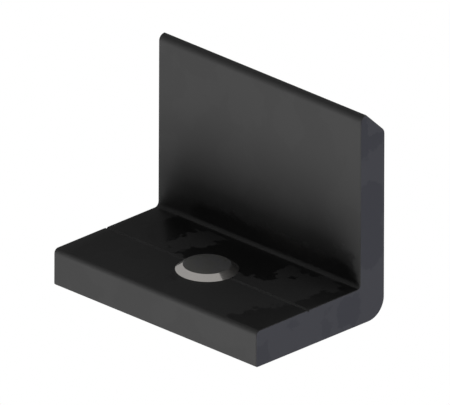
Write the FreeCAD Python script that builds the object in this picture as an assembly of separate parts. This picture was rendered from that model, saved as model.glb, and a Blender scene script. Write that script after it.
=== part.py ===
import FreeCAD, Part
import math
import os

# End stop for a solar mounting rail.
# A short length of black anodised aluminium L profile stands on its thick base, with its
# thinner upright at the back. A line mark runs along the top of the base, and a flat-point
# set screw stands in a hole on that mark, its point a little proud of the base.
#
# Millimetres. X runs along the cut length, Y from the free edge of the base to the upright,
# and Z up. The origin is the middle of the underside.

# Overall size of the profile and its cut length
length = 50.0
depth = 32.0
height = 40.0

# Wall thicknesses
base_thickness = 7.0
upright_thickness = 6.0

# Rounded edges of the section
bend_radius = 3.8
inside_radius = 0.9
front_top_radius = 0.9
front_bottom_radius = 0.5
upright_top_radius = 1.2

# Top of the upright: a narrow crest at the front, then a long bevel down to the back face
crest_width = 1.4
bevel_angle = 43.4
bevel_top_radius = 0.15
bevel_back_radius = 1.6

# Line mark along the base, a right-angled V that a drill centres on
mark_width = 0.6

# Sharp edge taken off both sawn ends
end_edge_break = 0.1

# Set screw, from its flat point above the base to its tail inside the underside
screw_diameter = 11.3
point_diameter = 8.6
point_projection = 0.9
tail_recess = 1.9
tail_chamfer = 0.8

# Hexagon socket in the screw's tail, and the metal left between it and the flat point
socket_across_flats = 6.0
socket_floor = 1.0
socket_drill_angle = 120.0
socket_mouth_chamfer = 0.2

# Room between the screw and the wall of its hole
thread_clearance = 0.05

# Lead-in cone at the underside mouth of the hole, measured outwards from its wall
lead_in = 0.5

# Most of the crest's width that its round may take up
widest_crest_round = 0.9

# How far a cutting shape reaches past the face that it cuts
overcut = 1.0

# Places that follow from the sizes
front_y = -depth / 2
back_y = depth / 2
upright_front_y = back_y - upright_thickness
half_length = length / 2
bevel_depth = upright_thickness - crest_width
bevel_height = bevel_depth * math.tan(math.radians(bevel_angle))
hole_y = (front_y + upright_front_y) / 2
hole_radius = screw_diameter / 2 + thread_clearance
point_z = base_thickness + point_projection

X_AXIS = FreeCAD.Vector(1, 0, 0)
Z_AXIS = FreeCAD.Vector(0, 0, 1)


def fillet_points(before, corner, after, radius):
    """Start, middle and end of the arc of this radius that rounds one corner."""
    to_before = (before - corner).normalize()
    to_after = (after - corner).normalize()
    half_angle = to_before.getAngle(to_after) / 2
    setback = radius / math.tan(half_angle)
    centre = corner + (to_before + to_after).normalize() * (radius / math.sin(half_angle))
    middle = centre + (corner - centre).normalize() * radius
    return corner + to_before * setback, middle, corner + to_after * setback


def rounded_outline(corners):
    """Closed wire of straight runs and tangent arcs, from (point, radius) pairs in order."""
    points = [point for point, radius in corners]
    count = len(points)
    arcs = []
    for i, (point, radius) in enumerate(corners):
        arcs.append(fillet_points(points[i - 1], point, points[(i + 1) % count], radius))
    edges = []
    for i, (start, middle, end) in enumerate(arcs):
        edges.append(Part.Arc(start, middle, end).toShape())
        next_start = arcs[(i + 1) % count][0]
        edges.append(Part.LineSegment(end, next_start).toShape())
    return Part.Wire(edges)


def section_point(y, z):
    """A point of the profile's section, on the plane of the left end."""
    return FreeCAD.Vector(-half_length, y, z)


def profile_bar():
    """The L profile, cut to length."""
    crest_radius = min(upright_top_radius, crest_width * widest_crest_round)
    corners = [
        (section_point(front_y, 0), front_bottom_radius),
        (section_point(back_y, 0), bend_radius),
        (section_point(back_y, height - bevel_height), bevel_back_radius),
        (section_point(back_y - bevel_depth, height), bevel_top_radius),
        (section_point(upright_front_y, height), crest_radius),
        (section_point(upright_front_y, base_thickness), inside_radius),
        (section_point(front_y, base_thickness), front_top_radius),
    ]
    return Part.Face(rounded_outline(corners)).extrude(X_AXIS * length)


def line_mark():
    """The V that is cut along the top of the base, over the hole's centre."""
    half_width = mark_width / 2
    bottom = section_point(hole_y, base_thickness - half_width)
    reach = half_width + overcut
    left = section_point(hole_y - reach, base_thickness + overcut)
    right = section_point(hole_y + reach, base_thickness + overcut)
    return Part.Face(Part.makePolygon([bottom, left, right, bottom])).extrude(X_AXIS * length)


def screw_hole():
    """The through hole and the lead-in cone of its underside mouth."""
    centre = FreeCAD.Vector(0, hole_y, 0)
    drill = Part.makeCylinder(hole_radius, base_thickness + 2 * overcut,
                              centre - Z_AXIS * overcut, Z_AXIS)
    mouth_radius = hole_radius + lead_in + overcut
    tip_radius = hole_radius - overcut
    cone_height = mouth_radius - tip_radius
    cone = Part.makeCone(mouth_radius, tip_radius, cone_height, centre - Z_AXIS * overcut, Z_AXIS)
    return drill.fuse(cone)


def end_face_edges(bar):
    """The edges that lie in the planes of the two sawn ends."""
    found = []
    for edge in bar.Edges:
        box = edge.BoundBox
        flat = box.XLength < 1e-6
        if flat and abs(abs(box.XMin) - half_length) < 1e-6:
            found.append(edge)
    return found


def make_bracket():
    """The L-shaped stop, with its line mark, broken end edges and screw hole."""
    bar = profile_bar().cut(line_mark())
    bar = bar.makeChamfer(end_edge_break, end_face_edges(bar))
    return bar.cut(screw_hole())


def screw_blank():
    """The screw before its socket: chamfered tail, plain shank, cone and flat point."""
    radius = screw_diameter / 2
    outline = [
        FreeCAD.Vector(0, 0, tail_recess),
        FreeCAD.Vector(radius - tail_chamfer, 0, tail_recess),
        FreeCAD.Vector(radius, 0, tail_recess + tail_chamfer),
        FreeCAD.Vector(radius, 0, base_thickness),
        FreeCAD.Vector(point_diameter / 2, 0, point_z),
        FreeCAD.Vector(0, 0, point_z),
    ]
    half_section = Part.Face(Part.makePolygon(outline + outline[:1]))
    return half_section.revolve(FreeCAD.Vector(0, 0, 0), Z_AXIS, 360)


def hexagon(across_flats, z):
    """A hexagon on the screw's axis with two of its flats along X."""
    corner_radius = across_flats / math.sqrt(3)
    points = []
    for step in range(7):
        angle = math.radians(60 * step)
        points.append(FreeCAD.Vector(corner_radius * math.cos(angle), corner_radius * math.sin(angle), z))
    return Part.makePolygon(points)


def hexagon_socket():
    """The socket's straight walls, its drilled floor and its chamfered mouth."""
    drill_radius = socket_across_flats / 2
    drill_height = drill_radius / math.tan(math.radians(socket_drill_angle / 2))
    walls_end_z = point_z - socket_floor - drill_height
    mouth_z = tail_recess - overcut
    walls = Part.Face(hexagon(socket_across_flats, mouth_z)).extrude(Z_AXIS * (walls_end_z - mouth_z))
    drill_tip = Part.makeCone(drill_radius, 0, drill_height, FreeCAD.Vector(0, 0, walls_end_z), Z_AXIS)
    mouth_radius = socket_across_flats / math.sqrt(3) + socket_mouth_chamfer + overcut
    mouth = Part.makeCone(mouth_radius, drill_radius, mouth_radius - drill_radius,
                          FreeCAD.Vector(0, 0, mouth_z), Z_AXIS)
    return walls.fuse([drill_tip, mouth])


def make_set_screw():
    """The set screw, in its hole."""
    screw = screw_blank().cut(hexagon_socket())
    screw.translate(FreeCAD.Vector(0, hole_y, 0))
    return screw


def write_parts():
    """Writes one file for each piece."""
    os.makedirs("parts", exist_ok=True)
    pieces = {
        "stop_bracket": make_bracket(),
        "set_screw": make_set_screw(),
    }
    for name, shape in pieces.items():
        if not shape.isValid() or len(shape.Solids) != 1:
            raise RuntimeError(name + " is not one sound solid")
        shape.Solids[0].exportStep("parts/" + name + ".step")


write_parts()
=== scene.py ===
"""Solar rail end stop: finishes, threaded set screw, floor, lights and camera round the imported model.

The file is laid out as an add-on and is run as a script. Everything is in metres, in the
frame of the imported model: X along the cut length, Y from the free edge of the base to the
upright, Z up, with the origin in the middle of the underside.
"""

import math

import bmesh
import bpy
from mathutils import Matrix, Vector


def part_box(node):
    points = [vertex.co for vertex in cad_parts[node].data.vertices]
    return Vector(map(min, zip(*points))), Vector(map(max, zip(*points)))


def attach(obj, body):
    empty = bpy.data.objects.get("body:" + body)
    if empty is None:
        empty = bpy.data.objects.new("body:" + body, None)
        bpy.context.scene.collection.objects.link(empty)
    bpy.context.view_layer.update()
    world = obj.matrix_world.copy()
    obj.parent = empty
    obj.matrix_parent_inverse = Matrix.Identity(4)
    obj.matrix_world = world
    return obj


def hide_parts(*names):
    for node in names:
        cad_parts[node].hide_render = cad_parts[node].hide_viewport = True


bl_info = {
    "name": "Solar rail end stop",
    "version": (1, 0, 0),
    "blender": (4, 5, 0),
    "location": "3D View > Sidebar > End stop",
    "description": "Builds the finishes, the threaded set screw and the studio of a solar rail end stop",
    "category": "Object",
}

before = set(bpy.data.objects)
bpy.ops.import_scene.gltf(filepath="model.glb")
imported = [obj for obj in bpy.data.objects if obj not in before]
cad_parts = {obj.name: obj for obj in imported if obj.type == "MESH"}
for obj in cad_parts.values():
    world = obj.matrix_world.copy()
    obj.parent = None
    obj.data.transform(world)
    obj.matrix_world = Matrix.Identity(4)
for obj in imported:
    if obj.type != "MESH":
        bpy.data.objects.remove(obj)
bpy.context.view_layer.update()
MM = 0.001

BRACKET = "stop_bracket"
SCREW = "set_screw"

# Boxes of the two solids, the screw's axis and radius, and the base's top
LOW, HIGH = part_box(BRACKET)
SCREW_LOW, SCREW_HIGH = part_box(SCREW)
SCREW_CENTRE = (SCREW_LOW + SCREW_HIGH) / 2
SCREW_RADIUS = (SCREW_HIGH.x - SCREW_LOW.x) / 2
BASE_THICKNESS = 7.0 * MM
BASE_TOP = LOW.z + BASE_THICKNESS

# Threads: flats in each turn, the slope of a 60 degree flank, and points closer than this are one
TURN_STEPS = 96
FLANK_SLOPE = math.tan(math.radians(30))
MERGE = 0.0005 * MM

# Edges of the turned pieces that bend by more than this look sharp
SHARP_ANGLE = math.radians(32)

# The photograph: width and height, the pixel of the near bottom corner, and pixels to the millimetre
PICTURE = (450, 405)
CORNER_PIXEL = (256.049, 368.032)
PIXELS_TO_MM = 5.692

# Soft boxes: azimuth and elevation, width and height, all in degrees seen from the stop
SOFT_BOXES = {
    "front": (15, -28, 27, 26),
    "front_left": (-15, -31, 26, 34),
    "front_strip": (-15, -11, 29, 8),
    "front_high": (-15, 50, 20, 24),
    "right": (120, 42, 44, 36),
    "right_low": (135, -25, 70, 45),
    "back": (180, 36, 14, 28),
    "panel": (-93, 58, 86, 116),
}

# The V line along the base, in millimetres: its Y, and how far from that its colour has gone
# and is still full
LINE_MARK_Y = SCREW_CENTRE.y / MM
LINE_MARK_EDGE = (0.36, 0.32)

# How much the mottling and the lines along the profile change the roughness
MOTTLE_ROUGHNESS = 0.03
LINES_ROUGHNESS = 0.02

# Patches of the oxide on the base's top that are glossier and painted nearly black. The near black is
# painted shade, standing in for the dark reflection of the upright. In millimetres:
# centre X and Y, half length, half width, and how strong their gloss and painted shade are from 0 to 1
BASE_GLOSS_SHADE_PATCHES = (
    (-16.3, 4.7, 3.6, 5.7, 1.0),
    (1.3, 5.4, 7.9, 5.6, 1.0),
    (-6.5, 0.3, 1.9, 2.5, 1.0),
    (8.3, 2.2, 2.5, 1.9, 1.0),
    (13.8, 9.2, 2.4, 1.3, 1.0),
    (13.1, 4.8, 0.7, 0.6, 1.0),
    (-1.7, -9.6, 0.8, 0.9, 0.7),
    (-11.2, -1.0, 0.8, 0.6, 1.0),
)

# The same in a narrow strip along the foot of the bend, which has a smoother edge: there the near black is
# painted shade in the crease
CREASE_GLOSS_SHADE_PATCHES = (
    (-0.6, 9.1, 17.0, 0.6, 1.0),
    (22.6, 9.1, 3.0, 0.6, 1.0),
    (-12.4, 8.9, 1.2, 1.2, 1.0),
    (23.0, 8.3, 1.1, 1.2, 1.0),
)

# The same on the upright's front, close to the bend, where the near black is painted shade in the corner:
# centre X and Z, half length, half height
UPRIGHT_GLOSS_SHADE_PATCHES = (
    (4.0, 8.6, 20.4, 2.5, 0.6),
    (20.9, 12.1, 2.4, 1.4, 0.6),
)

# The base's left patch fades out to the front left, its gloss sooner than its painted shade:
# X + Y where each has gone and where it is still full
GLOSS_FADE = (-17.5, -11.5)
PAINTED_SHADE_FADE = (-20.5, -14.0)

# The half-gloss band at the base's right end: X where it starts, the Y in front of which it
# gets wider and by how much for each millimetre, its gloss at the V line, and how much glossier
# it gets for each millimetre away from that
BAND_START = 22.1
BAND_WIDENS_FROM = 6.0
BAND_WIDENING = 0.26
BAND_GLOSS = 0.44
BAND_GLOSS_RISE = 0.027

# Gloss of the base's dull oxide at the foot of the bend, which also darkens its colour there as painted
# shade, and Y where that gloss starts and is full
BEND_GLOSS_SHADE = 0.45
BEND_GLOSS_SHADE_REACH = (2.0, 10.0)

# Darker patches of the oxide on the sawn ends: centre Y and Z, half width, half height, and depth
END_PATCHES = (
    (12.6, 18.6, 3.1, 8.2, 1.0),
    (10.6, 35.6, 1.3, 4.2, 1.0),
    (13.4, 34.6, 2.6, 1.4, 1.0),
    (7.1, 3.5, 2.9, 2.9, 1.0),
    (1.5, 2.0, 1.2, 1.7, 0.8),
    (1.8, 4.9, 0.6, 0.7, 0.7),
    (-6.6, 5.4, 1.3, 0.8, 0.8),
    (-14.8, 2.2, 2.0, 2.0, 0.8),
)

# Softness of every patch's edge, in millimetres
PATCH_EDGE = 0.12


# Shader expressions

class Signal:
    """A shader socket that Python expressions can use: each one adds its Math nodes."""

    def __init__(self, tree, socket=None):
        self.tree = tree
        self.socket = socket

    def node(self, kind, settings=None, inputs=None, output=0):
        """Adds a node of this type. Its settings come first, then values or links for its sockets."""
        made = self.tree.nodes.new(kind)
        for name, value in (settings or {}).items():
            setattr(made, name, value)
        for key, value in (inputs or {}).items():
            if isinstance(value, Signal):
                self.tree.links.new(value.socket, made.inputs[key])
            else:
                made.inputs[key].default_value = value
        return Signal(self.tree, made.outputs[output] if len(made.outputs) else None)

    def maths(self, operation, *values):
        return self.node("ShaderNodeMath", {"operation": operation}, dict(enumerate(values)))

    def __add__(self, other):
        return self.maths("ADD", self, other)

    __radd__ = __add__

    def __sub__(self, other):
        return self.maths("SUBTRACT", self, other)

    def __rsub__(self, other):
        return self.maths("SUBTRACT", other, self)

    def __mul__(self, other):
        return self.maths("MULTIPLY", self, other)

    __rmul__ = __mul__

    def __truediv__(self, other):
        return self.maths("DIVIDE", self, other)

    def __rtruediv__(self, other):
        return self.maths("DIVIDE", other, self)

    def __pow__(self, other):
        return self.maths("POWER", self, other)

    def __abs__(self):
        return self.maths("ABSOLUTE", self)

    def most(self, other):
        """The higher of two values."""
        return self.maths("MAXIMUM", self, other)

    def step(self, start, end):
        """0 at start, 1 at end and smooth in between. The start may be the higher of the two."""
        if start > end:
            return 1.0 - self.step(end, start)
        settings = {"interpolation_type": "SMOOTHSTEP"}
        inputs = {"Value": self, "From Min": start, "From Max": end}
        return self.node("ShaderNodeMapRange", settings, inputs)

    def axis(self, name):
        """One component of a vector."""
        return self.node("ShaderNodeSeparateXYZ", None, {0: self}, name)

    def blend(self, low, high):
        """A colour between two others."""
        inputs = {"Factor": self, 6: low, 7: high}
        return self.node("ShaderNodeMix", {"data_type": "RGBA"}, inputs, 2)


def new_material(name):
    """An empty material and its shader, with no node but the output."""
    material = bpy.data.materials.new(name)
    material.use_nodes = True
    tree = material.node_tree
    tree.nodes.clear()
    return material, Signal(tree)


def finish_material(shader, bsdf):
    """Sends a shader to the material's output."""
    shader.node("ShaderNodeOutputMaterial", None, {"Surface": bsdf})


def millimetres(shader):
    """The place on the piece, in millimetres."""
    place = shader.node("ShaderNodeTexCoord", output="Object")
    return shader.node("ShaderNodeVectorMath", {"operation": "SCALE"}, {0: place, "Scale": 1 / MM})


def noise(shader, place, scale, detail=2.0, rough=0.5, output="Fac"):
    """Smooth 3D noise from 0 to 1, with this many bumps to the millimetre."""
    inputs = {"Vector": place, "Scale": scale, "Detail": detail, "Roughness": rough}
    return shader.node("ShaderNodeTexNoise", {"noise_dimensions": "3D"}, inputs, output)


def stretched(shader, place, scale):
    """Coordinates multiplied by three factors."""
    return shader.node("ShaderNodeVectorMath", {"operation": "MULTIPLY"}, {0: place, 1: scale})


def ragged(shader, place, reach, scale):
    """Coordinates pushed about by noise, so that what is drawn on them gets a ragged edge."""
    push = noise(shader, place, scale, 5.0, 0.62, "Color")
    offset = shader.node("ShaderNodeVectorMath", {"operation": "SUBTRACT"}, {0: push, 1: (0.5, 0.5, 0.5)})
    scaled = shader.node("ShaderNodeVectorMath", {"operation": "SCALE"}, {0: offset, "Scale": reach})
    return shader.node("ShaderNodeVectorMath", {"operation": "ADD"}, {0: place, 1: scaled})


def patches(across, up, shapes):
    """The strongest of several rounded patches at each point, from 0 to 1."""
    found = None
    for centre_across, centre_up, half_across, half_up, strength in shapes:
        flat = abs(across - centre_across) / half_across
        tall = abs(up - centre_up) / half_up
        distance = (flat ** 4 + tall ** 4) ** 0.25
        soft = PATCH_EDGE / min(half_across, half_up)
        patch = distance.step(1 + soft, 1 - soft) * strength
        found = patch if found is None else found.most(patch)
    return found


# What a user would change

class EndStopThread(bpy.types.PropertyGroup):
    """Sizes of the set screw and its tapped hole"""

    pitch: bpy.props.FloatProperty(
        name="Pitch", description="Height of one turn of the thread",
        subtype="DISTANCE", unit="LENGTH", min=0.5 * MM, default=1.75 * MM)
    depth: bpy.props.FloatProperty(
        name="Thread depth", description="Depth of the screw's groove",
        subtype="DISTANCE", unit="LENGTH", min=0.1 * MM, default=0.9 * MM)
    root_flat: bpy.props.FloatProperty(
        name="Root width", description="Width of the flat bottom of the screw's groove",
        subtype="DISTANCE", unit="LENGTH", min=0.05 * MM, default=0.49 * MM)
    collar: bpy.props.FloatProperty(
        name="Plain collar", description="Length without thread under the cone of the point",
        subtype="DISTANCE", unit="LENGTH", min=0.2 * MM, default=0.75 * MM)
    point_diameter: bpy.props.FloatProperty(
        name="Point diameter", description="Diameter of the flat point",
        subtype="DISTANCE", unit="LENGTH", min=1.0 * MM, default=8.6 * MM)
    tail_chamfer: bpy.props.FloatProperty(
        name="Tail chamfer", description="Chamfer round the screw's tail",
        subtype="DISTANCE", unit="LENGTH", min=0.1 * MM, default=0.8 * MM)
    socket: bpy.props.FloatProperty(
        name="Key size", description="Width of the hexagon socket across its flats",
        subtype="DISTANCE", unit="LENGTH", min=1.0 * MM, default=6.0 * MM)
    socket_floor: bpy.props.FloatProperty(
        name="Socket floor", description="Metal left between the socket and the flat point",
        subtype="DISTANCE", unit="LENGTH", min=0.2 * MM, default=1.0 * MM)
    mouth_chamfer: bpy.props.FloatProperty(
        name="Socket chamfer", description="How far the socket's mouth is opened past its corners",
        subtype="DISTANCE", unit="LENGTH", min=0.05 * MM, default=0.2 * MM)
    lead_in: bpy.props.FloatProperty(
        name="Lead-in", description="Lead-in cone at the mouth of the tapped hole",
        subtype="DISTANCE", unit="LENGTH", min=0.1 * MM, default=0.5 * MM)
    clearance: bpy.props.FloatProperty(
        name="Clearance", description="Gap between the screw's crests and the hole's wall",
        subtype="DISTANCE", unit="LENGTH", min=0.01 * MM, default=0.05 * MM)
    engagement_gap: bpy.props.FloatProperty(
        name="Thread gap", description="Gap between the hole's ridges and the bottom of the screw's groove",
        subtype="DISTANCE", unit="LENGTH", min=0.02 * MM, default=0.15 * MM)


class EndStopFinish(bpy.types.PropertyGroup):
    """Colours and gloss of the two metals"""

    anodised: bpy.props.FloatVectorProperty(
        name="Anodised", description="Colour of the dyed oxide on the profile's long faces",
        subtype="COLOR", size=3, min=0, max=1, default=(0.010, 0.010, 0.010))
    # Painted shade: this near-black colour stands in for the dark reflection of the upright and the shade
    # at the foot of the bend; only on the band at the base's right end is it the oxide's own darker tone.
    glossy: bpy.props.FloatVectorProperty(
        name="Glossy oxide", description="Colour of the oxide in the near-black glossy patches",
        subtype="COLOR", size=3, min=0, max=1, default=(0.004, 0.004, 0.004))
    scribed: bpy.props.FloatVectorProperty(
        name="Line mark", description="Colour of the dyed oxide in the V line along the base",
        subtype="COLOR", size=3, min=0, max=1, default=(0.016, 0.016, 0.016))
    # Painted cool light: the blue tint of both sawn-end colours stands in for cool light falling from the
    # right; the darker blotches are the sawn ends' own uneven tone.
    sawn_end_cool_tint: bpy.props.FloatVectorProperty(
        name="Sawn ends", description="Colour of the dyed oxide on the two sawn ends",
        subtype="COLOR", size=3, min=0, max=1, default=(0.034, 0.0354, 0.0486))
    blotched_end_cool_tint: bpy.props.FloatVectorProperty(
        name="Blotched ends", description="Colour of the sawn ends' darker patches",
        subtype="COLOR", size=3, min=0, max=1, default=(0.0222, 0.0238, 0.0370))
    # Painted warm light: the warm tint of the turned steel stands in for warm light from the left; its
    # bright grey is the steel's own.
    steel: bpy.props.FloatVectorProperty(
        name="Turned steel", description="Colour of the steel's cone and thread",
        subtype="COLOR", size=3, min=0, max=1, default=(0.98, 0.94, 0.90))
    faced_steel: bpy.props.FloatVectorProperty(
        name="Faced steel", description="Colour of the steel's flat point",
        subtype="COLOR", size=3, min=0, max=1, default=(0.95, 0.95, 0.91))
    blued_steel: bpy.props.FloatVectorProperty(
        name="Blued steel", description="Colour of the flat point's cooler patches",
        subtype="COLOR", size=3, min=0, max=1, default=(0.95, 0.95, 0.97))
    matt: bpy.props.FloatProperty(
        name="Matt roughness", description="Roughness of the oxide where it is dull grey",
        subtype="FACTOR", min=0, max=1, default=0.74)
    gloss: bpy.props.FloatProperty(
        name="Glossy roughness", description="Roughness of the oxide's near-black patches",
        subtype="FACTOR", min=0, max=1, default=0.30)
    sawn: bpy.props.FloatProperty(
        name="Sawn roughness", description="Roughness of the sawn ends",
        subtype="FACTOR", min=0, max=1, default=0.75)
    turned: bpy.props.FloatProperty(
        name="Turned roughness", description="Roughness of the steel's cone and thread",
        subtype="FACTOR", min=0, max=1, default=0.14)
    faced: bpy.props.FloatProperty(
        name="Faced roughness", description="Roughness of the steel's flat point",
        subtype="FACTOR", min=0, max=1, default=0.25)


class EndStopStudio(bpy.types.PropertyGroup):
    """Floor, lights and camera"""

    front: bpy.props.FloatProperty(
        name="Front light", description="Brightness of the soft box low in front of the stop",
        min=0, default=16.3)
    front_left: bpy.props.FloatProperty(
        name="Front left light", description="Brightness of the soft box beside it, on its left",
        min=0, default=8.0)
    front_strip: bpy.props.FloatProperty(
        name="Front strip light", description="Brightness of the strip above the front left light",
        min=0, default=5.6)
    front_high: bpy.props.FloatProperty(
        name="High front light", description="Brightness of the soft box high in front",
        min=0, default=3.7)
    right: bpy.props.FloatProperty(
        name="Right light", description="Brightness of the soft box high on the right",
        min=0, default=1.4)
    right_low: bpy.props.FloatProperty(
        name="Low right light", description="Brightness of the soft box low on the right",
        min=0, default=1.9)
    back: bpy.props.FloatProperty(
        name="Back light", description="Brightness of the soft box behind the upright",
        min=0, default=8.6)
    panel: bpy.props.FloatProperty(
        name="Panel", description="Brightness of the large panel that hangs from above down to the left",
        min=0, default=0.29)
    azimuth: bpy.props.FloatProperty(
        name="Camera azimuth", description="Camera's turn round the stop, from straight in front",
        subtype="ANGLE", default=math.radians(44.631))
    elevation: bpy.props.FloatProperty(
        name="Camera elevation", description="Camera's angle above the horizon",
        subtype="ANGLE", default=math.radians(24.312))
    roll: bpy.props.FloatProperty(
        name="Camera roll", description="Turn of the picture about the line of sight",
        subtype="ANGLE", default=math.radians(0.214))
    frame_width: bpy.props.FloatProperty(
        name="Frame width", description="Width of the view at the stop",
        subtype="DISTANCE", unit="LENGTH", default=PICTURE[0] / PIXELS_TO_MM * MM)


# Operators

class ENDSTOP_OT_bracket(bpy.types.Operator):
    """Give the L-shaped bracket its black anodised finish"""

    bl_idname = "endstop.bracket"
    bl_label = "Finish the bracket"

    def execute(self, context):
        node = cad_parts[BRACKET]
        node.data.materials[0] = anodised_material(context.scene.endstop_finish)
        return {"FINISHED"}


class ENDSTOP_OT_hole_thread(bpy.types.Operator):
    """Cut the ridges of the tapped hole round the set screw"""

    bl_idname = "endstop.hole_thread"
    bl_label = "Thread the hole"

    def execute(self, context):
        shape = hole_thread(context.scene.endstop_thread)
        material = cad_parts[BRACKET].data.materials[0]
        add_piece(shape, "hole_thread", material)
        return {"FINISHED"}


class ENDSTOP_OT_screw(bpy.types.Operator):
    """Turn the threaded set screw in bare steel"""

    bl_idname = "endstop.screw"
    bl_label = "Turn the set screw"

    def execute(self, context):
        shape = threaded_screw(context.scene.endstop_thread)
        material = steel_material(context.scene.endstop_finish)
        piece = add_piece(shape, "threaded_screw", material)
        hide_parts(SCREW)
        return {"FINISHED"}


class ENDSTOP_OT_studio(bpy.types.Operator):
    """Lay the pale floor and set up the soft lights and the camera"""

    bl_idname = "endstop.studio"
    bl_label = "Set up the studio"

    def execute(self, context):
        studio = context.scene.endstop_studio
        make_floor()
        make_lights(studio)
        make_surroundings()
        make_camera(studio)
        context.scene.view_settings.view_transform = "Standard"
        return {"FINISHED"}


class VIEW3D_PT_endstop(bpy.types.Panel):
    """Steps and settings of the end stop"""

    bl_idname = "VIEW3D_PT_endstop"
    bl_label = "End stop"
    bl_space_type = "VIEW_3D"
    bl_region_type = "UI"
    bl_category = "End stop"

    def draw(self, context):
        layout = self.layout
        for step in STEPS:
            layout.operator(step.bl_idname)
        scene = context.scene
        for group in (scene.endstop_thread, scene.endstop_finish, scene.endstop_studio):
            box = layout.box()
            for name in group.bl_rna.properties.keys():
                if name not in ("rna_type", "name"):
                    box.prop(group, name)


# Threads

def wound(waves, low, high, pitch):
    """A helical surface between two heights, from the (height, radius) points of one turn's outline.

    It is wound too long at both ends and then cut off there.
    """
    shape = bmesh.new()
    turns = range(-2, math.ceil((high - low) / pitch) + 2)
    outline = [(height + pitch * turn, radius) for turn in turns for height, radius in waves]
    verts = [shape.verts.new((radius, 0, low + height)) for height, radius in outline]
    edges = [shape.edges.new(pair) for pair in zip(verts, verts[1:])]
    bmesh.ops.subdivide_edges(shape, edges=edges, cuts=3)
    bmesh.ops.spin(shape, geom=shape.verts[:] + shape.edges[:], axis=(0, 0, 1),
                   dvec=(0, 0, pitch / TURN_STEPS), angle=math.tau, steps=TURN_STEPS, use_merge=False)
    bmesh.ops.remove_doubles(shape, verts=shape.verts, dist=2 * MERGE)
    for height, up in ((low, -1), (high, 1)):
        everything = shape.verts[:] + shape.edges[:] + shape.faces[:]
        bmesh.ops.bisect_plane(shape, geom=everything, dist=MERGE / 5, plane_co=(0, 0, height),
                               plane_no=(0, 0, up), clear_outer=True)
    return shape


def rim(shape, height):
    """The open edges that lie at one height."""
    def level(edge):
        return all(abs(vert.co.z - height) < 2 * MERGE for vert in edge.verts)
    return [edge for edge in shape.edges if edge.is_boundary and level(edge)]


def grow(shape, edges, place):
    """Extrudes a rim to a new ring. place gives a point's radius and height from its angle."""
    made = bmesh.ops.extrude_edge_only(shape, edges=edges)["geom"]
    for vert in (item for item in made if isinstance(item, bmesh.types.BMVert)):
        angle = math.atan2(vert.co.y, vert.co.x)
        radius, height = place(angle)
        vert.co = (radius * math.cos(angle), radius * math.sin(angle), height)
    return [item for item in made if isinstance(item, bmesh.types.BMEdge)]


def ring(radius, height):
    """A round ring, for grow."""
    return lambda angle: (radius, height)


def close(shape, edges, height):
    """Closes a rim with a fan of faces to a point on the axis, which starts as a tiny ring."""
    tiny = 0.01 * MM
    centre_edges = grow(shape, edges, ring(tiny, height))
    verts = list({vert for edge in centre_edges for vert in edge.verts})
    bmesh.ops.pointmerge(shape, verts=verts, merge_co=(0, 0, height))


def hexagon_radius(across_flats, angle):
    """Radius of a hexagon at an angle. Two of its corners lie on X."""
    sixth = math.radians(60)
    from_corner = abs((angle + sixth / 2) % sixth - sixth / 2)
    return across_flats / 2 / math.cos(sixth / 2 - from_corner)


def threaded_screw(sizes):
    """The set screw: thread, plain collar, cone, flat point, tail and hexagon socket."""
    radius = SCREW_RADIUS
    root = radius - sizes.depth
    half_root = sizes.root_flat / 2
    flank_end = half_root + sizes.depth * FLANK_SLOPE
    waves = ((-half_root, root), (half_root, root), (flank_end, radius), (sizes.pitch - flank_end, radius))
    tail, point = SCREW_LOW.z, SCREW_HIGH.z
    thread_end = BASE_TOP - sizes.collar
    run_out = 0.1 * MM
    shape = wound(waves, tail, thread_end, sizes.pitch)
    for vert in shape.verts:
        chamfered = radius - sizes.tail_chamfer + vert.co.z - tail
        vert.co.xy *= min(1, chamfered / vert.co.xy.length)
    edges = grow(shape, rim(shape, thread_end), ring(radius, thread_end + run_out))
    edges = grow(shape, edges, ring(radius, BASE_TOP))
    edges = grow(shape, edges, ring(sizes.point_diameter / 2, point))
    close(shape, edges, point)
    cut_socket(shape, rim(shape, tail), sizes)
    return shape


def cut_socket(shape, edges, sizes):
    """The hexagon socket in the screw's tail, with its chamfered mouth and drilled floor."""
    tail = SCREW_LOW.z
    mouth = sizes.socket / math.sqrt(3) + sizes.mouth_chamfer
    drill_height = sizes.socket / 2 * math.tan(math.radians(30))
    walls_end = SCREW_HIGH.z - sizes.socket_floor - drill_height
    drill_radius = sizes.socket / 2 * 0.995

    def mouth_edge(angle):
        radius = hexagon_radius(sizes.socket, angle)
        return radius, tail + mouth - radius

    def walls_edge(angle):
        return hexagon_radius(sizes.socket, angle), walls_end

    edges = grow(shape, edges, ring(mouth, tail))
    edges = grow(shape, edges, mouth_edge)
    edges = grow(shape, edges, walls_edge)
    edges = grow(shape, edges, ring(drill_radius, walls_end))
    close(shape, edges, walls_end + drill_height)


def hole_thread(sizes):
    """The ridges of the tapped hole, which reach into the screw's groove without touching it."""
    wall = SCREW_RADIUS + sizes.clearance
    crest = SCREW_RADIUS - sizes.depth + sizes.engagement_gap
    half_crest = sizes.root_flat / 2 + (sizes.engagement_gap - sizes.clearance) * FLANK_SLOPE
    ridge_end = half_crest + (wall - crest) * FLANK_SLOPE
    low = LOW.z + sizes.lead_in
    high = BASE_TOP - sizes.collar - sizes.clearance
    start = (SCREW_LOW.z - low) % sizes.pitch
    turn = ((-half_crest, crest), (half_crest, crest), (ridge_end, wall), (sizes.pitch - ridge_end, wall))
    shape = wound([(start + height, radius) for height, radius in turn], low, high, sizes.pitch)
    for vert in shape.verts:
        cone = wall + sizes.lead_in - (vert.co.z - LOW.z)
        vert.co.xy *= max(1, min(cone, wall) / vert.co.xy.length)
    outer = wall + sizes.clearance
    lower = grow(shape, rim(shape, low), ring(outer, low))
    upper = grow(shape, rim(shape, high), ring(outer, high))
    bmesh.ops.bridge_loops(shape, edges=lower + upper)
    return shape


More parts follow.
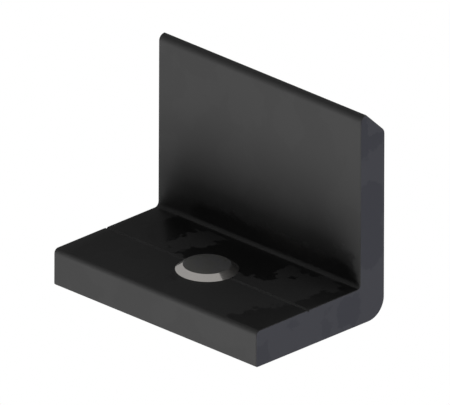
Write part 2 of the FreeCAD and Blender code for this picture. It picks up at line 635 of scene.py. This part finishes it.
def add_piece(shape, name, material):
    """Puts a shape that was made round Z on the screw's axis, as a piece of the stop."""
    bmesh.ops.remove_doubles(shape, verts=shape.verts, dist=MERGE)
    bmesh.ops.recalc_face_normals(shape, faces=shape.faces)
    bmesh.ops.translate(shape, verts=shape.verts, vec=(SCREW_CENTRE.x, SCREW_CENTRE.y, 0))
    mesh = bpy.data.meshes.new(name)
    shape.to_mesh(mesh)
    shape.free()
    mesh.shade_smooth()
    mesh.set_sharp_from_angle(angle=SHARP_ANGLE)
    mesh.materials.append(material)
    piece = bpy.data.objects.new(name, mesh)
    bpy.context.scene.collection.objects.link(piece)
    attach(piece, "root")
    return piece


# Materials

def anodised_material(finish):
    """Black anodised aluminium: mottled gloss on the base with painted shade in its near-black patches,
    lines along the profile, matt sawn ends with a painted cool tint.
    """
    material, shader = new_material("black_anodised")
    place = millimetres(shader)
    normal = shader.node("ShaderNodeNewGeometry", output="True Normal")
    end_face = abs(normal.axis("X")).step(0.8, 0.95)
    mottle = noise(shader, place, 0.1, 4.0).step(0.5, 0.52)
    lines = noise(shader, stretched(shader, place, (0.01, 3.0, 3.0)), 1.0, 3.0)
    saw = noise(shader, stretched(shader, place, (0.5, 0.25, 4.0)), 1.0, 2.0)
    # Sawn ends: their own blotches, with the blue tint of painted cool light
    sawn_cool_tint_colour = end_blotches(shader, place).blend((*finish.sawn_end_cool_tint, 1), (*finish.blotched_end_cool_tint, 1))
    mark = abs(place.axis("Y") - LINE_MARK_Y).step(*LINE_MARK_EDGE) * place.axis("Z").step(5.5, 6.0)
    gloss, dark = oxide_gloss_and_shade(shader, place, normal)
    # The oxide's own colour with the near-black painted shade laid over it
    oxide = dark.blend((*finish.anodised, 1), (*finish.glossy, 1))
    long_colour = mark.blend(oxide, (*finish.scribed, 1))
    colour = end_face.blend(long_colour, sawn_cool_tint_colour)
    matt = finish.matt + (0.5 - mottle) * MOTTLE_ROUGHNESS + (lines - 0.5) * LINES_ROUGHNESS
    long_faces = matt + gloss * (1.0 - mark) * (finish.gloss - finish.matt)
    roughness = long_faces + end_face * (finish.sawn - long_faces)
    relief = lines * (1.0 - end_face) + saw * end_face
    bump = shader.node("ShaderNodeBump", None, {"Strength": 0.2, "Distance": 0.004 * MM, "Height": relief})
    inputs = {"Base Color": colour, "Roughness": roughness, "Normal": bump, "IOR": 1.5}
    finish_material(shader, shader.node("ShaderNodeBsdfPrincipled", None, inputs))
    return material


def oxide_gloss_and_shade(shader, place, normal):
    """How much gloss the oxide has on the base's top and the upright's front, and how near black its colour
    is painted, from 0 to 1. The near black is painted shade, except on the band at the base's right end.
    """
    spot = ragged(shader, place, 7.0, 0.5)
    across, along, up = (spot.axis(name) for name in "XYZ")
    foot = ragged(shader, place, 1.2, 1.0)
    crease = patches(foot.axis("X"), foot.axis("Y"), CREASE_GLOSS_SHADE_PATCHES)
    # Gloss near the bend, which also paints shade there by darkening the colour
    bend_gloss_shade = place.axis("Y").step(*BEND_GLOSS_SHADE_REACH) * BEND_GLOSS_SHADE
    # Painted shade on the base's top, where the oxide is also glossier
    base = patches(across, along, BASE_GLOSS_SHADE_PATCHES)
    diagonal = place.axis("X") + place.axis("Y")
    band = right_band(shader, place, across, along)
    top = (base * diagonal.step(*GLOSS_FADE)).most(band).most(crease).most(bend_gloss_shade)
    # Painted shade in the corner on the upright's front, where the oxide is also glossier
    front = patches(across, up, UPRIGHT_GLOSS_SHADE_PATCHES)
    on_base = normal.axis("Z").step(0.84, 0.95) * place.axis("Z").step(20.0, 19.0)
    on_upright = normal.axis("Y").step(-0.9, -0.98) * place.axis("Y").step(5.0, 6.0)
    gloss = top * on_base + front * on_upright
    # The colour goes nearly black wherever the oxide is glossier, which is painted shade except on the band
    # at the base's right end, and a little further out round the base's left patch
    dark = gloss.most(base * diagonal.step(*PAINTED_SHADE_FADE) * on_base)
    return gloss, dark


def right_band(shader, place, across, along):
    """How much gloss the band at the base's right end has, with its wandering edge."""
    wander = (noise(shader, place, 0.5, 5.0, 0.6) - 0.5) * 7.0
    widening = (BAND_WIDENS_FROM - along).most(0.0) * BAND_WIDENING
    band = (across + wander + widening).step(BAND_START, BAND_START + 0.2)
    return band * (BAND_GLOSS + abs(place.axis("Y") - LINE_MARK_Y) * BAND_GLOSS_RISE)


def end_blotches(shader, place):
    """How dark the oxide is blotched on the sawn ends, from 0 to 1."""
    spot = ragged(shader, place, 4.0, 0.5)
    return patches(spot.axis("Y"), spot.axis("Z"), END_PATCHES)


def steel_material(finish):
    """Bare turned steel, bright on the cone and duller on the flat point."""
    material, shader = new_material("bare_steel_turned")
    normal = shader.node("ShaderNodeNewGeometry", output="True Normal")
    flat = normal.axis("Z").step(0.9, 0.97)
    roughness = finish.turned + flat * (finish.faced - finish.turned)
    cool = noise(shader, millimetres(shader), 0.3).step(0.48, 0.56)
    point_colour = cool.blend((*finish.faced_steel, 1), (*finish.blued_steel, 1))
    # The cone's warm tint is painted warm light
    colour = flat.blend((*finish.steel, 1), point_colour)
    film = 1.0 - flat * 0.6
    inputs = {"Base Color": colour, "Metallic": 1.0, "Roughness": roughness,
              "Coat Weight": film, "Coat Roughness": 0.6}
    finish_material(shader, shader.node("ShaderNodeBsdfPrincipled", None, inputs))
    return material


# Studio

def make_floor():
    """A wide white floor under the stop that only the camera sees. Seen from below, it is clear."""
    half_width = 3.0
    gap = 0.02 * MM
    mesh = bpy.data.meshes.new("floor")
    shape = bmesh.new()
    bmesh.ops.create_grid(shape, x_segments=1, y_segments=1, size=half_width)
    bmesh.ops.translate(shape, verts=shape.verts, vec=(0, 0, LOW.z - gap))
    shape.to_mesh(mesh)
    shape.free()
    floor = bpy.data.objects.new("floor", mesh)
    bpy.context.scene.collection.objects.link(floor)
    floor.visible_diffuse = False
    floor.visible_glossy = False
    floor.visible_transmission = False
    floor.visible_shadow = False
    material, shader = new_material("white_floor")
    backfacing = shader.node("ShaderNodeNewGeometry", output="Backfacing")
    glow = shader.node("ShaderNodeEmission", None, {"Strength": 1.0})
    clear = shader.node("ShaderNodeBsdfTransparent")
    finish_material(shader, shader.node("ShaderNodeMixShader", None, {0: backfacing, 1: glow, 2: clear}))
    mesh.materials.append(material)


def soft_box(name, brightness, azimuth, elevation, width, height):
    """A rectangular soft light round the stop. Its place and its size are angles seen from the stop."""
    distance = 1.0
    aim = Vector((0, 0, 15 * MM))
    turn, tilt = math.radians(azimuth), math.radians(elevation)
    away = Vector((math.sin(turn) * math.cos(tilt), -math.cos(turn) * math.cos(tilt), math.sin(tilt)))
    light = bpy.data.lights.new(name, "AREA")
    light.shape = "RECTANGLE"
    light.size = 2 * distance * math.tan(math.radians(width / 2))
    light.size_y = 2 * distance * math.tan(math.radians(height / 2))
    light.energy = brightness * math.pi * light.size * light.size_y
    box = bpy.data.objects.new(name, light)
    box.location = aim + away * distance
    box.rotation_euler = away.to_track_quat("Z", "Y").to_euler()
    box.visible_camera = False
    bpy.context.scene.collection.objects.link(box)


def make_lights(studio):
    """The soft boxes, each as bright as the studio's setting of the same name."""
    for name, angles in SOFT_BOXES.items():
        soft_box(name, getattr(studio, name), *angles)


def make_surroundings():
    """A dark room, which the camera sees as plain white."""
    world = bpy.data.worlds.new("surroundings")
    world.use_nodes = True
    tree = world.node_tree
    tree.nodes.clear()
    shader = Signal(tree)
    camera_ray = shader.node("ShaderNodeLightPath", output="Is Camera Ray")
    white = (1, 1, 1, 1)
    room = shader.node("ShaderNodeBackground", None, {"Color": white, "Strength": 0.0})
    backdrop = shader.node("ShaderNodeBackground", None, {"Color": white, "Strength": 1.0})
    seen = shader.node("ShaderNodeMixShader", None, {0: camera_ray, 1: room, 2: backdrop})
    shader.node("ShaderNodeOutputWorld", None, {"Surface": seen})
    bpy.context.scene.world = world


def make_camera(studio):
    """A parallel camera that puts the stop where the photograph has it."""
    distance = 0.5
    corner = Vector((HIGH.x, LOW.y, LOW.z))
    turn = Matrix.Rotation(studio.azimuth, 3, "Z")
    tilt = Matrix.Rotation(math.radians(90) - studio.elevation, 3, "X")
    facing = turn @ tilt @ Matrix.Rotation(studio.roll, 3, "Z")
    pixel = studio.frame_width / PICTURE[0]
    offset = Vector((CORNER_PIXEL[0] - PICTURE[0] / 2, PICTURE[1] / 2 - CORNER_PIXEL[1], 0)) * pixel
    centre = corner - facing @ offset
    camera = bpy.data.cameras.new("camera")
    camera.type = "ORTHO"
    camera.ortho_scale = studio.frame_width
    camera.clip_start = 0.01
    camera.clip_end = 10
    holder = bpy.data.objects.new("camera", camera)
    holder.matrix_world = Matrix.Translation(centre + facing @ Vector((0, 0, distance))) @ facing.to_4x4()
    bpy.context.scene.collection.objects.link(holder)
    bpy.context.scene.camera = holder


STEPS = (ENDSTOP_OT_bracket, ENDSTOP_OT_hole_thread, ENDSTOP_OT_screw, ENDSTOP_OT_studio)
GROUPS = {"endstop_thread": EndStopThread, "endstop_finish": EndStopFinish, "endstop_studio": EndStopStudio}
CLASSES = (*GROUPS.values(), *STEPS, VIEW3D_PT_endstop)


def register():
    for cls in CLASSES:
        bpy.utils.register_class(cls)
    for name, group in GROUPS.items():
        setattr(bpy.types.Scene, name, bpy.props.PointerProperty(type=group))


def unregister():
    for name in GROUPS:
        delattr(bpy.types.Scene, name)
    for cls in reversed(CLASSES):
        bpy.utils.unregister_class(cls)


def main():
    register()
    bpy.ops.endstop.bracket()
    bpy.ops.endstop.hole_thread()
    bpy.ops.endstop.screw()
    bpy.ops.endstop.studio()


if __name__ == "__main__":
    main()
